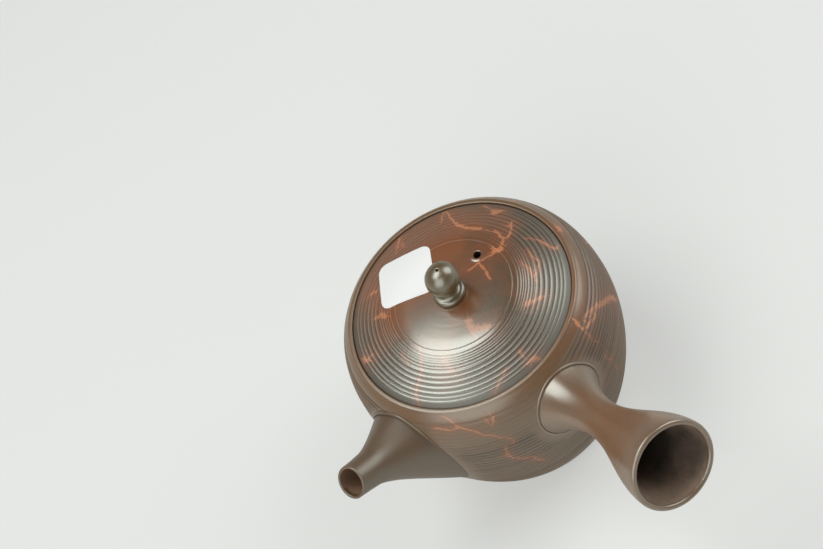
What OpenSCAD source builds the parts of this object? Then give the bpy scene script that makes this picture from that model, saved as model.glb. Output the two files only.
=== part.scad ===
// Side-handled kyusu teapot in unglazed stoneware, standing upright on its base.
// Origin at the centre of the base, +Z up, spout towards -X, side handle towards -Y.

/* [Body] */
// Widest outside diameter of the body
belly_d = 100.4; // [94:0.2:110]
// Height of the widest level above the base
belly_z = 46; // [40:1:50]
// Height of the mouth rim above the base
body_h = 70; // [66:1:80]
// Diameter of the flat base
base_d = 71; // [60:1:78]
// Thickness of the thrown wall
wall = 3; // [2.4:0.1:3.6]
// Thickness of the floor
floor_t = 3.6; // [2.6:0.1:5]

/* [Mouth] */
// Thickness of the upright rim around the lid
rim_t = 1.8; // [1.4:0.1:2.6]
// Depth of the lid's seat below the top of the rim
seat_depth = 2.6; // [2:0.1:4]
// Width of the ledge that carries the lid
seat_w = 5; // [3.5:0.1:6]
// Thickness of that ledge at the throat
seat_t = 3; // [2.4:0.1:4]

/* [Lid] */
// Diameter of the lid's edge
lid_d = 82; // [76:0.5:86]
// Rise of the sloping flank from the lid's edge to its smooth middle
lid_rise = 6.5; // [4:0.5:9]
// Further rise of the smooth middle
middle_rise = 0.8; // [0.2:0.1:2]
// Thickness of the lid
lid_t = 3; // [2.4:0.1:3.6]
// How far the lid's edge stands above the rim
lid_proud = 0.2; // [0:0.1:1]
// Depth of the locating flange below the seat
flange_h = 6; // [4:0.5:9]
// Thickness of the locating flange
flange_t = 2.6; // [2:0.1:3.4]
// Number of turned ridges around the lid
ridge_count = 13; // [8:1:20]
// Share of the ridges' spread that widens towards the edge
ridge_widening = 0.25; // [0:0.05:0.5]
// Depth of the grooves between the ridges
ridge_depth = 0.35; // [0.1:0.05:0.5]
// Diameter of the smooth middle inside the ridges
smooth_d = 45.4; // [40:0.2:52]
// Width of the plain, rounded edge outside the ridges
edge_band = 1.5; // [1.2:0.1:3]
// Diameter of the steam hole
steam_d = 2.9; // [2:0.1:4]
// Distance of the steam hole from the lid's axis
steam_r = 16.6; // [13:0.2:18]
// Width of the bevel round the steam hole
steam_bevel = 0.7; // [0.3:0.1:1]

/* [Knob] */
// Diameter of the ball on top
ball_d = 11.6; // [10:0.2:14]
// Height of the ball's centre above the lid's flat middle
ball_h = 11; // [10:0.1:13]
// Diameter of the neck under the ball
neck_d = 7.8; // [6:0.2:8.6]
// Diameter of the collar at the foot of the knob
collar_d = 12; // [10:0.2:12.4]
// Height of that collar
collar_h = 1; // [0.8:0.1:1.6]
// Diameter of the hollow inside the ball
core_d = 5.8; // [4:0.2:7]
// Diameter of the vent at the top of the hollow ball
vent_d = 1.2; // [0.8:0.1:1.8]

/* [Spout] */
// Angle of the spout's axis above level
spout_rise = 32.4; // [26:0.2:38]
// Depth below the rim at which the axis leaves the belly
spout_drop = 17; // [15:0.5:20]
// Length from the belly to the tip, along the axis
spout_len = 29; // [24:0.5:36]
// Outside diameter at the tip
spout_tip_d = 12; // [11.4:0.2:14]
// Length of the nearly straight neck behind the tip
spout_neck = 10; // [7:0.5:12]
// Bore at the tip
spout_bore_d = 10; // [8:0.2:10.2]
// Diameter that the flare reaches inside the belly
spout_root_d = 52; // [48:1:56]
// Angle above level that the cut tip faces
spout_cut = 40.4; // [34:0.2:50]

/* [Handle] */
// Angle from the spout round to the handle, seen from above
handle_turn = 76.7; // [70:0.1:95]
// Angle of the handle's axis above level
handle_rise = 19.4; // [14:0.2:26]
// Depth below the rim at which the axis leaves the belly
handle_drop = 16; // [14:0.5:20]
// Length from the belly to the open end, along the axis
handle_len = 63; // [54:1:76]
// Outside diameter of the open end
handle_end_d = 31.8; // [26:0.2:36]
// Outside diameter of the waist
handle_waist_d = 13.4; // [12.4:0.2:17]
// Distance of the waist from the belly
handle_waist_at = 20.5; // [17:0.5:24]
// Diameter that the flare reaches inside the belly
handle_root_d = 36; // [32:1:40]
// Thickness of the handle's wall
handle_wall = 2.1; // [1.8:0.1:2.8]

/* [Strainer] */
// Depth of the strainer's middle below the rim
strainer_drop = 25; // [24:0.5:28]
// Radius of the domed strainer
strainer_r = 16; // [15:0.5:18]
// How far the dome stands into the pot
strainer_bulge = 11; // [9:0.5:12]
// Thickness of the strainer
strainer_t = 2; // [1.6:0.1:2.6]
// Diameter of its holes
mesh_d = 1.3; // [0.9:0.1:1.5]
// Distance from hole to hole
mesh_pitch = 2.4; // [2.1:0.1:3]
// Diameter of the passage through the body's wall behind it
passage_d = 22; // [18:0.5:23]

/* [Label] */
// Width of the blank paper label
label_w = 21.4; // [14:0.2:22]
// Height of the label
label_h = 20.8; // [14:0.2:22]
// Radius of the label's corners
label_corner = 3.6; // [1:0.2:5]
// Distance of the label's middle from the lid's axis
label_r = 21.4; // [21:0.1:23]
// Angle round the lid, from away from the spout, at which the label lies
label_azimuth = 91.5; // [0:0.5:360]
// Angle of the label's sides to the line from the lid's axis
label_turn = 41; // [0:1:90]
// Thickness of the paper
label_t = 0.2; // [0.1:0.05:0.4]

/* [Clearances] */
// Gap between the lid's edge and the rim, all round
lid_gap = 0.6; // [0.4:0.1:1]
// Gap between the lid's flange and the throat, all round
flange_gap = 0.6; // [0.4:0.1:1]
// Thickness of the slip that joins fired pieces
slip_gap = 0.05; // [0.03:0.01:0.2]

/* [Hidden] */
$fn = 96;
curve_steps = 12;
far = 300;

clay = [0.36, 0.29, 0.25];
clay_dark = [0.30, 0.25, 0.21];
clay_red = [0.42, 0.28, 0.22];

// Radii and levels that several pieces share
belly_r = belly_d / 2;
base_r = base_d / 2;
lid_r = lid_d / 2;
rim_in = lid_r + lid_gap;
rim_out = rim_in + rim_t;
seat_z = body_h - seat_depth;
throat_r = rim_in - seat_w;
throat_z = seat_z - seat_t;
lid_edge_z = body_h + lid_proud;
flange_out = throat_r - flange_gap;
flange_in = flange_out - flange_t;
flange_z = seat_z - flange_h;

// Level of the lid's outside over its ridges: a straight flank up to a slightly domed middle
smooth_r = smooth_d / 2;
function lid_top(r) = lid_edge_z + (r > smooth_r
    ? lid_rise * (lid_r - r) / (lid_r - smooth_r)
    : lid_rise + middle_rise * (1 - pow(r / smooth_r, 2)));

// Points on the lid's outside from the radius r0 to the smooth middle's edge, moved up by lift
function lid_middle(r0, lift = 0) = [
    for (i = [0 : curve_steps])
        let (r = mix(r0, smooth_r, i / curve_steps))
        [r, lid_top(r) + lift]
];

// The knob stands on a flat at the lid's middle, a little wider than its collar
knob_margin = 0.2;
knob_seat_r = collar_d / 2 + knob_margin;
knob_seat_z = lid_top(knob_seat_r);

// Where the spout's and the handle's axes cross the belly and the pot's own axis
spout_wall = belly_r / cos(spout_rise);
spout_axis_z = body_h - spout_drop - belly_r * tan(spout_rise);
handle_wall_at = belly_r / cos(handle_rise);
handle_axis_z = body_h - handle_drop - belly_r * tan(handle_rise);
handle_azimuth = handle_turn - 180;

// How far inside the belly the flares of the spout and the handle start
spout_root_in = 23;
handle_root_in = 9;

strainer_z = body_h - strainer_drop;
strainer_x = belly_r - wall - strainer_bulge + strainer_r;

// Fullness of each curve: how far its two ends are drawn out and along, as shares of its span
foot_out = 0.41;
foot_up = 0.16;
floor_up = 0.1;
belly_from = 0.61;
belly_to = 0.37;
shoulder_out = 0.8;
shoulder_up = 0.77;
ceiling_from = 0.6;
spout_root_fall = [0.68, 0.345];
spout_neck_fall = [0.06, 0.785];
spout_neck_swell = 1.08;
handle_root_fall = [0.47, 0.23];
handle_waist_from = 0.6;
handle_waist_to = 0.33;
handle_bell_from = 0.68;
knob_neck_from = 0.5;

function mix(a, b, t) = a + (b - a) * t;

// Points along a cubic curve from a to d, drawn towards b and c, without its last point
function curve(a, b, c, d, n = curve_steps) = [
    for (i = [0 : n - 1])
        let (t = i / n, u = 1 - t)
        u * u * u * a + 3 * u * u * t * b + 3 * u * t * t * c + t * t * t * d
];

// Points along an arc about centre, from angle a0 to angle a1
function arc(centre, r, a0, a1, n = 8) = [
    for (i = [0 : n])
        centre + r * [cos(mix(a0, a1, i / n)), sin(mix(a0, a1, i / n))]
];

// Outside of the body from the base to the foot of the rim, drawn outwards by grow
function belly_outline(grow = 0) = concat(
    curve(
        [base_r + grow, 0],
        [mix(base_r, belly_r, foot_out) + grow, belly_z * foot_up],
        [belly_r + grow, belly_z * belly_from],
        [belly_r + grow, belly_z]
    ),
    curve(
        [belly_r + grow, belly_z],
        [belly_r + grow, mix(belly_z, body_h, belly_to)],
        [mix(rim_out, belly_r, shoulder_out) + grow, mix(belly_z, body_h, shoulder_up)],
        [rim_out + grow, body_h - rim_t / 2]
    )
);

// Inside of the body from the floor's middle to the throat, drawn inwards by shrink
function cavity_outline(shrink = 0) =
    let (r = belly_r - wall - shrink, foot = base_r - wall - shrink)
    concat(
        [[0, floor_t + shrink]],
        curve(
            [foot - wall, floor_t + shrink],
            [mix(foot, r, foot_out), floor_t + belly_z * floor_up],
            [r, belly_z * belly_from],
            [r, belly_z]
        ),
        curve(
            [r, belly_z],
            [r, mix(belly_z, throat_z, ceiling_from)],
            [r - wall, throat_z - shrink],
            [throat_r - shrink, throat_z - shrink]
        ),
        [[throat_r - shrink, throat_z - shrink]]
    );

// The body's outer form without its mouth, to which the spout and the handle are joined
module body_form(grow = 0) {
    rotate_extrude()
        polygon(concat([[0, 0]], belly_outline(grow), [[rim_out + grow, body_h], [0, body_h]]));
}

// A child drawn along +Z, laid along an axis that leaves the pot's axis at the level z
module along_axis(azimuth, rise, z) {
    translate([0, 0, z])
        rotate([0, 90 - rise, azimuth])
            children();
}

module pot_body() {
    rim_mid = [rim_in + rim_t / 2, body_h - rim_t / 2];
    cavity = cavity_outline();
    color(clay)
        difference() {
            rotate_extrude()
                polygon(concat(
                    [[0, 0]],
                    belly_outline(),
                    arc(rim_mid, rim_t / 2, 0, 180),
                    [[rim_in, seat_z], [throat_r, seat_z]],
                    [for (i = [len(cavity) - 1 : -1 : 0]) cavity[i]]
                ));
            translate([0, 0, strainer_z])
                rotate([0, -90, 0])
                    cylinder(d = passage_d, h = far);
        }
}

// Half outline of the spout's outside or inside, as [radius, distance along its axis]
function spout_outline(root_r, tip_r) =
    let (
        tip = spout_wall + spout_len,
        root = spout_wall - spout_root_in,
        neck = tip - spout_neck,
        neck_r = tip_r * spout_neck_swell
    )
    concat(
        curve(
            [root_r, root],
            [mix(neck_r, root_r, spout_root_fall[0]), mix(root, neck, spout_root_fall[1])],
            [mix(neck_r, root_r, spout_neck_fall[0]), mix(root, neck, spout_neck_fall[1])],
            [neck_r, neck]
        ),
        [[neck_r, neck], [tip_r, tip], [tip_r, tip + 2 * tip_r]]
    );

module spout() {
    inner = spout_outline(spout_root_d / 2 - wall, spout_bore_d / 2);
    tip = spout_wall + spout_len;
    color(clay_dark)
        difference() {
            along_axis(180, spout_rise, spout_axis_z)
                difference() {
                    rotate_extrude()
                        polygon(concat(
                            spout_outline(spout_root_d / 2, spout_tip_d / 2),
                            [for (i = [len(inner) - 1 : -1 : 0]) inner[i]]
                        ));
                    translate([0, 0, tip])
                        rotate([0, spout_rise - spout_cut, 0])
                            translate([-far / 2, -far / 2, 0])
                                cube(far);
                }
            body_form(slip_gap);
        }
}

// Half outline of the handle's outside, or of its inside at a wall's depth
function handle_outline(depth = 0) =
    let (
        root = handle_wall_at - handle_root_in,
        waist = handle_wall_at + handle_waist_at,
        tip = handle_wall_at + handle_len,
        root_r = handle_root_d / 2 - depth,
        waist_r = handle_waist_d / 2 - depth,
        tip_r = handle_end_d / 2 - depth,
        lip = handle_wall / 2
    )
    concat(
        curve(
            [root_r, root],
            [mix(waist_r, root_r, handle_root_fall[0]), mix(root, waist, handle_root_fall[1])],
            [waist_r, mix(root, waist, handle_waist_from)],
            [waist_r, waist]
        ),
        curve(
            [waist_r, waist],
            [waist_r, mix(waist, tip, handle_waist_to)],
            [tip_r, mix(waist, tip, handle_bell_from)],
            [tip_r, tip - lip]
        )
    );

module handle() {
    inner = handle_outline(handle_wall);
    lip_mid = [(handle_end_d - handle_wall) / 2, handle_wall_at + handle_len - handle_wall / 2];
    color(clay_red)
        difference() {
            along_axis(handle_azimuth, handle_rise, handle_axis_z)
                rotate_extrude()
                    polygon(concat(
                        handle_outline(),
                        arc(lip_mid, handle_wall / 2, 0, 180),
                        [for (i = [len(inner) - 1 : -1 : 0]) inner[i]]
                    ));
            body_form(slip_gap);
        }
}

module strainer() {
    color(clay_dark)
        intersection() {
            rotate_extrude()
                polygon(cavity_outline(slip_gap));
            difference() {
                translate([-strainer_x, 0, strainer_z])
                    sphere(strainer_r);
                translate([-strainer_x, 0, strainer_z])
                    sphere(strainer_r - strainer_t);
                translate([-strainer_x, 0, strainer_z])
                    rotate([0, 90, 0])
                        strainer_holes();
            }
        }
}

// Straight holes in front of the passage, in rings of six, twelve and so on around a middle one
module strainer_holes() {
    rings = floor(passage_d / 2 / mesh_pitch);
    cylinder(d = mesh_d, h = far / 2);
    for (ring = [1 : rings], side = [0 : 5], step = [0 : ring - 1])
        rotate([0, 0, side * 60])
            translate([ring - step / 2, step * sin(60), 0] * mesh_pitch)
                cylinder(d = mesh_d, h = far / 2);
}

// Radius of one crest, counted from the smooth middle outwards
function crest_r(i) =
    let (t = i / (ridge_count - 1))
    mix(smooth_r, lid_r - edge_band, t * (1 - ridge_widening) + t * t * ridge_widening);

module lid() {
    ridges = [
        for (i = [0.5 : 0.5 : ridge_count - 1])
            let (r = crest_r(i))
            [r, lid_top(r) - (i == floor(i) ? 0 : ridge_depth)]
    ];
    edge = curve(
        [crest_r(ridge_count - 1), lid_top(lid_r - edge_band)],
        [lid_r - edge_band / 2, lid_edge_z],
        [lid_r, lid_edge_z],
        [lid_r, lid_edge_z - edge_band],
        curve_steps / 2
    );
    under = lid_middle(0, -lid_t);
    color(clay)
        difference() {
            rotate_extrude()
                polygon(concat(
                    [[0, knob_seat_z]],
                    lid_middle(knob_seat_r),
                    ridges,
                    edge,
                    [[lid_r, lid_edge_z - edge_band], [lid_r, seat_z]],
                    [[flange_out, seat_z], [flange_out, flange_z], [flange_in, flange_z]],
                    [[flange_in, lid_top(flange_in) - lid_t]],
                    [for (i = [len(under) - 1 : -1 : 0]) under[i]]
                ));
            translate([steam_r, 0, flange_z])
                cylinder(d = steam_d, h = far / 2);
            translate([steam_r, 0, lid_top(steam_r) - steam_bevel])
                cylinder(d1 = steam_d, d2 = steam_d + 4 * steam_bevel, h = 2 * steam_bevel);
        }
}

module lid_knob() {
    ball_r = ball_d / 2;
    neck_r = neck_d / 2;
    collar_mid = [collar_d / 2 - collar_h / 2, collar_h / 2];
    neck_meets = asin(neck_r / ball_r);
    neck_top = ball_h - ball_r * cos(neck_meets);
    color(clay_dark)
        translate([0, 0, knob_seat_z])
            difference() {
                rotate_extrude()
                    polygon(concat(
                        [[0, 0]],
                        arc(collar_mid, collar_h / 2, -90, 90),
                        curve(
                            [collar_mid[0], collar_h],
                            [neck_r, collar_h],
                            [neck_r, mix(collar_h, neck_top, knob_neck_from)],
                            [neck_r, neck_top],
                            curve_steps / 2
                        ),
                        arc([0, ball_h], ball_r, neck_meets - 90, 90, 24)
                    ));
                translate([0, 0, ball_h])
                    sphere(d = core_d);
                translate([0, 0, ball_h])
                    cylinder(d = vent_d, h = ball_d);
            }
}

module paper_label() {
    // The label lies over the crests with one corner towards the knob
    outer = [lid_r, lid_edge_z];
    over = lid_middle(0, slip_gap + label_t);
    color("white")
        intersection() {
            rotate_extrude()
                polygon(concat(
                    lid_middle(0, slip_gap),
                    [outer + [0, slip_gap], outer + [0, slip_gap + label_t]],
                    [for (i = [len(over) - 1 : -1 : 0]) over[i]]
                ));
            rotate([0, 0, label_azimuth])
                translate([label_r, 0, lid_edge_z - lid_rise])
                    rotate([0, 0, label_turn])
                        linear_extrude(far)
                            rounded_rectangle(label_w, label_h, label_corner);
        }
}

module rounded_rectangle(w, h, r) {
    square([w - 2 * r, h], center = true);
    square([w, h - 2 * r], center = true);
    for (x = [-1, 1], y = [-1, 1])
        translate([x * (w / 2 - r), y * (h / 2 - r)])
            circle(r);
}

pot_body();
spout();
handle();
strainer();
lid();
lid_knob();
paper_label();
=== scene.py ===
# %% [markdown]
# # A side-handled teapot in unglazed stoneware
# The construction of this teapot is already fixed: a thrown body, a spout, a hollow side handle, a
# strainer inside, a lid with its knob and a paper label. This lesson gives each of them its looks.
# Nothing is moved or resized. Each new piece takes its sizes from the frame that is loaded first.

# %% Load the fixed frame
import math
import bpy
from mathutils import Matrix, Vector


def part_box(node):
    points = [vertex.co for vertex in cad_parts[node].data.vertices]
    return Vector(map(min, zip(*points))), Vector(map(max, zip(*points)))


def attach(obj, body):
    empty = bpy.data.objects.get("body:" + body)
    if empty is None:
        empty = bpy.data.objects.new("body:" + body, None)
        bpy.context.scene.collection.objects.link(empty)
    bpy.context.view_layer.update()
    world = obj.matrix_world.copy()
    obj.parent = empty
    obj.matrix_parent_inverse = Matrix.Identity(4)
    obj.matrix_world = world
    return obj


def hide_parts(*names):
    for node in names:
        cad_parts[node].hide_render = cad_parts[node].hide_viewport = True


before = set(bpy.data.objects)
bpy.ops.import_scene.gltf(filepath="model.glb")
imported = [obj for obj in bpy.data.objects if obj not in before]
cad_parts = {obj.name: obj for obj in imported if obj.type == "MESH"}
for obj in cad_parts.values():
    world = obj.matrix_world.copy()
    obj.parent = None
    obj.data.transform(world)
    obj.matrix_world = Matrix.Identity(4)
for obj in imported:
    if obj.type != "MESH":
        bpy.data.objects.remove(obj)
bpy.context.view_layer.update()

from types import SimpleNamespace

import bpy
import numpy as np
from mathutils import Matrix, Vector

MM = 0.001

# %% [markdown]
# ## The camera
# The photograph was taken with a long lens, from the handle's side, with the pot tipped towards the
# viewer. A pot could be tipped here too, but it has to stay where its frame is, so the camera goes
# up high and leans over instead. The picture of the pot is the same.

# %% Camera
CAMERA_AT = (-207.6, -429.3, 714.7)
CAMERA_TURN = (31.61, 21.90, -56.14)
LENS_MM = 100
SENSOR_MM = 36

bpy.ops.object.camera_add(
    location=Vector(CAMERA_AT) * MM,
    rotation=[math.radians(angle) for angle in CAMERA_TURN],
)
camera = bpy.context.object
camera.data.lens = LENS_MM
camera.data.sensor_width = SENSOR_MM
bpy.context.scene.camera = camera
print("camera stands", round(camera.location.length, 3), "m from the pot's base")

# %% [markdown]
# ## Outlines
# Every clay piece of this pot was thrown on a wheel, so each one is an outline turned about an axis.
# An outline is a list of (radius, height) in millimetres. Long swells are cubic curves, the way a
# potter sees them: two ends and how far each end runs on before it bends. Small lips are arcs.

# %% Tools for outlines
def mix(a, b, share):
    """The value that lies a share of the way from a to b."""
    return a + (b - a) * share


def swell(start, start_pull, end_pull, end, count):
    """Points along a cubic curve, without its last one."""
    t = np.arange(count)[:, None] / count
    u = 1 - t
    a, b, c, d = (np.array(p, float) for p in (start, start_pull, end_pull, end))
    return u**3 * a + 3 * u**2 * t * b + 3 * u * t**2 * c + t**3 * d


def arc(centre, radius, first, last, count=10):
    """Points on an arc between two angles in degrees."""
    angles = np.radians(np.linspace(first, last, count))
    return np.array(centre) + radius * np.stack([np.cos(angles), np.sin(angles)], axis=1)


def ease(low, high, value):
    """0 up to low, 1 from high on, and a smooth step between them."""
    t = np.clip((value - low) / (high - low), 0, 1)
    return t * t * (3 - 2 * t)


# %% Sizes of the body and its mouth
def size_of(node):
    """A node's lowest and highest corners, in millimetres."""
    low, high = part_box(node)
    return np.array(low) / MM, np.array(high) / MM


body_low, body_high = size_of("pot_body")
lid_low, lid_high = size_of("lid")
belly_r = (body_high[0] - body_low[0]) / 2
body_h = body_high[2]
lid_r = (lid_high[0] - lid_low[0]) / 2

BELLY_Z = 46
BASE_R = 35.5
WALL = 3
FLOOR_T = 3.6
RIM_T, RIM_W = 1.8, 2.4
LID_GAP = 0.18
SEAT_DEPTH, SEAT_W, SEAT_T = 2.6, 4.4, 3

rim_in = lid_r + LID_GAP
rim_out = lid_r + RIM_W
seat_z = body_h - SEAT_DEPTH
throat_r = lid_r - SEAT_W
throat_z = seat_z - SEAT_T
print("belly radius", round(belly_r, 2), "height", round(body_h, 2), "lid radius", round(lid_r, 2))

# %% The belly's smooth line, from base to rim
def lengths(vectors):
    """The length of each row of vectors."""
    return np.linalg.norm(vectors, axis=1)


belly_line = np.vstack([
    swell((BASE_R, 0), (mix(BASE_R, belly_r, 0.41), BELLY_Z * 0.16),
          (belly_r, BELLY_Z * 0.61), (belly_r, BELLY_Z), 160),
    swell((belly_r, BELLY_Z), (belly_r, mix(BELLY_Z, body_h, 0.37)),
          (mix(rim_out, belly_r, 0.8), mix(BELLY_Z, body_h, 0.77)), (rim_out, body_h - RIM_T / 2), 120),
    [(rim_out, body_h - RIM_T / 2)],
])
belly_steps = lengths(np.diff(belly_line, axis=0))
belly_arc = np.concatenate([[0], np.cumsum(belly_steps)])
belly_slope = np.gradient(belly_line, axis=0)
belly_slope /= lengths(belly_slope)[:, None]


def belly_radius(z):
    """The smooth belly's radius at a height."""
    return np.interp(z, belly_line[:, 1], belly_line[:, 0])


def belly_normal(points):
    """Outward normals of the smooth belly at points on it."""
    z = points[:, 2]
    outward = np.interp(z, belly_line[:, 1], belly_slope[:, 1])
    upward = -np.interp(z, belly_line[:, 1], belly_slope[:, 0])
    ring = lengths(points[:, :2])
    return np.column_stack([points[:, :2] / ring[:, None] * outward[:, None], upward])


print("the belly's line is", round(belly_arc[-1], 1), "mm long")

# %% [markdown]
# ## Throwing a piece
# On the wheel the potter's hands are the outline, and the wheel does the rest. Blender's Spin is the
# same thing: one vertex is extruded along the outline, and the outline is spun a full turn. The first
# and last copies are merged, and only then are the normals turned outwards.

# %% The wheel
WELD = 1e-6


def throw(name, outline, steps, foot=(0, 0, 0), axis=(0, 0, 1), out=(1, 0, 0)):
    """Spins an outline of (radius, height) in mm about an axis through foot, and returns the piece."""
    foot, axis, out = Vector(foot) * MM, Vector(axis), Vector(out)
    places = [foot + (out * float(r) + axis * float(h)) * MM for r, h in outline]
    bpy.ops.object.select_all(action="DESELECT")
    bpy.ops.mesh.primitive_plane_add(size=MM)
    piece = bpy.context.object
    piece.name = piece.data.name = name
    bpy.ops.object.mode_set(mode="EDIT")
    bpy.ops.mesh.select_all(action="SELECT")
    bpy.ops.mesh.merge(type="CENTER")
    bpy.ops.transform.translate(value=places[0])
    for here, there in zip(places, places[1:]):
        bpy.ops.mesh.extrude_vertices_move(TRANSFORM_OT_translate={"value": there - here})
    bpy.ops.mesh.select_all(action="SELECT")
    bpy.ops.mesh.spin(steps=steps, angle=math.tau, center=foot, axis=axis)
    bpy.ops.mesh.select_all(action="SELECT")
    bpy.ops.mesh.remove_doubles(threshold=WELD)
    bpy.ops.mesh.normals_make_consistent(inside=False)
    bpy.ops.object.mode_set(mode="OBJECT")
    return piece


def read_points(piece):
    """A piece's vertices, in millimetres."""
    flat = np.empty(len(piece.data.vertices) * 3)
    piece.data.vertices.foreach_get("co", flat)
    return flat.reshape(-1, 3) / MM


def write_points(piece, points):
    """Moves a piece's vertices to points in millimetres."""
    piece.data.vertices.foreach_set("co", (points * MM).ravel())
    piece.data.update()


def pick(piece):
    """Selects one piece alone and makes it active."""
    bpy.ops.object.select_all(action="DESELECT")
    bpy.context.view_layer.objects.active = piece
    piece.select_set(True)


def smooth(piece, angle=40):
    """Soft shading, with edges sharper than angle in degrees kept crisp."""
    pick(piece)
    bpy.ops.object.shade_smooth_by_angle(angle=math.radians(angle))


def report(piece):
    """Prints how many triangles a piece has."""
    triangles = sum(len(face.vertices) - 2 for face in piece.data.polygons)
    print(piece.name, "has", triangles, "triangles")


# %% [markdown]
# ## Where the spout and the handle stand
# Both are tubes thrown by themselves and then leaned against the belly. A tube is described by where
# its axis starts, which way it runs, and its outer and inner outlines along that axis.

# %% A tube that leans on the belly
def lean(azimuth, rise, drop, outer, inner, free):
    """A tube whose axis leaves the belly a drop below the rim. It keeps its round shape past free."""
    around, up = math.radians(azimuth), math.radians(rise)
    way = np.array([math.cos(up) * math.cos(around), math.cos(up) * math.sin(around), math.sin(up)])
    lift = np.array([-math.sin(up) * math.cos(around), -math.sin(up) * math.sin(around), math.cos(up)])
    start = np.array([0, 0, body_h - drop - belly_r * math.tan(up)])
    return SimpleNamespace(
        way=way, lift=lift, side=np.cross(way, lift), start=start, outer=outer, inner=inner, free=free,
        root=outer[0][1], outer_at=lambda s: np.interp(s, outer[:, 1], outer[:, 0]),
        inner_at=lambda s: np.interp(s, inner[:, 1], inner[:, 0]),
    )


# %% The spout's lines
SPOUT_AZIMUTH, SPOUT_RISE, SPOUT_DROP = 180, 32.4, 17
SPOUT_LENGTH, SPOUT_NECK, SPOUT_SUNK = 29, 10, 23
SPOUT_TIP_R, SPOUT_BORE_R, SPOUT_ROOT_R = 6.0, 5.0, 26.0
NECK_WIDENS = 1.08

spout_wall = belly_r / math.cos(math.radians(SPOUT_RISE))
spout_tip = spout_wall + SPOUT_LENGTH
spout_neck = spout_tip - SPOUT_NECK


def spout_line(root_r, tip_r):
    """One line of the spout, outer or inner, from its root in the belly to its lip."""
    root, neck_r = spout_wall - SPOUT_SUNK, tip_r * NECK_WIDENS
    flare = swell((root_r, root), (mix(neck_r, root_r, 0.68), mix(root, spout_neck, 0.345)),
                  (mix(neck_r, root_r, 0.06), mix(root, spout_neck, 0.785)), (neck_r, spout_neck), 64)
    lip = (SPOUT_TIP_R - SPOUT_BORE_R) / 2
    neck = swell((neck_r, spout_neck), (neck_r * 0.97, spout_neck + 3),
                 (tip_r, spout_tip - 4), (tip_r, spout_tip - lip), 10)
    return np.vstack([flare, neck, [(tip_r, spout_tip - lip)]])


spout_tube = lean(SPOUT_AZIMUTH, SPOUT_RISE, SPOUT_DROP, spout_line(SPOUT_ROOT_R, SPOUT_TIP_R),
                  spout_line(SPOUT_ROOT_R - WALL, SPOUT_BORE_R), spout_neck)
print("the spout's tip is", round(spout_tip, 1), "mm along its axis")

# %% The handle's lines
HANDLE_AZIMUTH, HANDLE_RISE, HANDLE_DROP = -103.3, 19.4, 16
HANDLE_LENGTH, HANDLE_WAIST, HANDLE_SUNK = 63, 20.5, 9
HANDLE_ROOT_R, HANDLE_WAIST_R, HANDLE_TIP_R = 18, 6.7, 15.9
HANDLE_WALL = 2.1

handle_wall_at = belly_r / math.cos(math.radians(HANDLE_RISE))
handle_tip = handle_wall_at + HANDLE_LENGTH
handle_waist = handle_wall_at + HANDLE_WAIST


def handle_line(depth):
    """The handle's line at a depth in its wall, from its root in the belly to its open end."""
    root_r, waist_r, tip_r = (r - depth for r in (HANDLE_ROOT_R, HANDLE_WAIST_R, HANDLE_TIP_R))
    root, end = handle_wall_at - HANDLE_SUNK, handle_tip - HANDLE_WALL / 2
    flare = swell((root_r, root), (mix(waist_r, root_r, 0.47), mix(root, handle_waist, 0.23)),
                  (waist_r, mix(root, handle_waist, 0.6)), (waist_r, handle_waist), 60)
    bell = swell((waist_r, handle_waist), (waist_r, mix(handle_waist, handle_tip, 0.33)),
                 (tip_r, mix(handle_waist, handle_tip, 0.68)), (tip_r, end), 80)
    return np.vstack([flare, bell, [(tip_r, end)]])


handle_tube = lean(HANDLE_AZIMUTH, HANDLE_RISE, HANDLE_DROP,
                   handle_line(0), handle_line(HANDLE_WALL), handle_waist)
print("the handle's end is", round(handle_tip, 1), "mm along its axis")

# %% [markdown]
# ## The body
# The body is thrown in one piece: a trimmed foot, the belly, a narrow flat rim, a ledge inside it that
# carries the lid, and a hollow. While it turned, the potter held a comb against it, which cut fine
# rings into the belly. The grooves could be faked with bump, but they catch the light along their
# whole length and show on the outline, so they are cut into the mesh. The outline gets more points
# where a groove will be.

# %% Grooves cut on the wheel
def dip(place, grooves):
    """How deep grooves of (middle, half-width, depth) lie under the surface at a place, in mm."""
    return sum(depth * np.exp(-((place - middle) / half) ** 2) for middle, half, depth in grooves)


def groove_rows(grooves):
    """Places along an outline that are close together across every groove."""
    close = np.array([-1.7, -1, -0.5, 0, 0.5, 1, 1.7])
    rows = np.sort(np.concatenate([middle + half * close for middle, half, _ in grooves]))
    return rows[np.concatenate([[True], np.diff(rows) > 0.07])]


# %% Rings of the comb
COMB_START, COMB_END = 4, 66
COMB_PITCH_ABOVE, COMB_PITCH_BELOW = 1.85, 2.3
COMB_WIDENS = 15, 50
COMB_HALF, COMB_DEPTH = 0.55, 0.54
# How much single rings differ in width, depth and pitch
HALF_SPREAD, DEPTH_SPREAD, PITCH_SPREAD = (0.85, 1.1), (0.8, 1.15), (0.87, 1.13)
chance = np.random.default_rng(7)

comb = []
place = COMB_START
while place < COMB_END:
    half = COMB_HALF * chance.uniform(*HALF_SPREAD)
    depth = COMB_DEPTH * chance.uniform(*DEPTH_SPREAD)
    comb.append((place, half, depth))
    pitch = mix(COMB_PITCH_ABOVE, COMB_PITCH_BELOW, ease(*COMB_WIDENS, place))
    place += pitch * chance.uniform(*PITCH_SPREAD)
print("the comb has", len(comb), "rings, the first", COMB_START, "mm below the rim")

# %% Throw the body
FOOT_RING, FOOT_LIFT = 6, 0.5
RIM_EDGE_R = 0.3

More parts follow.
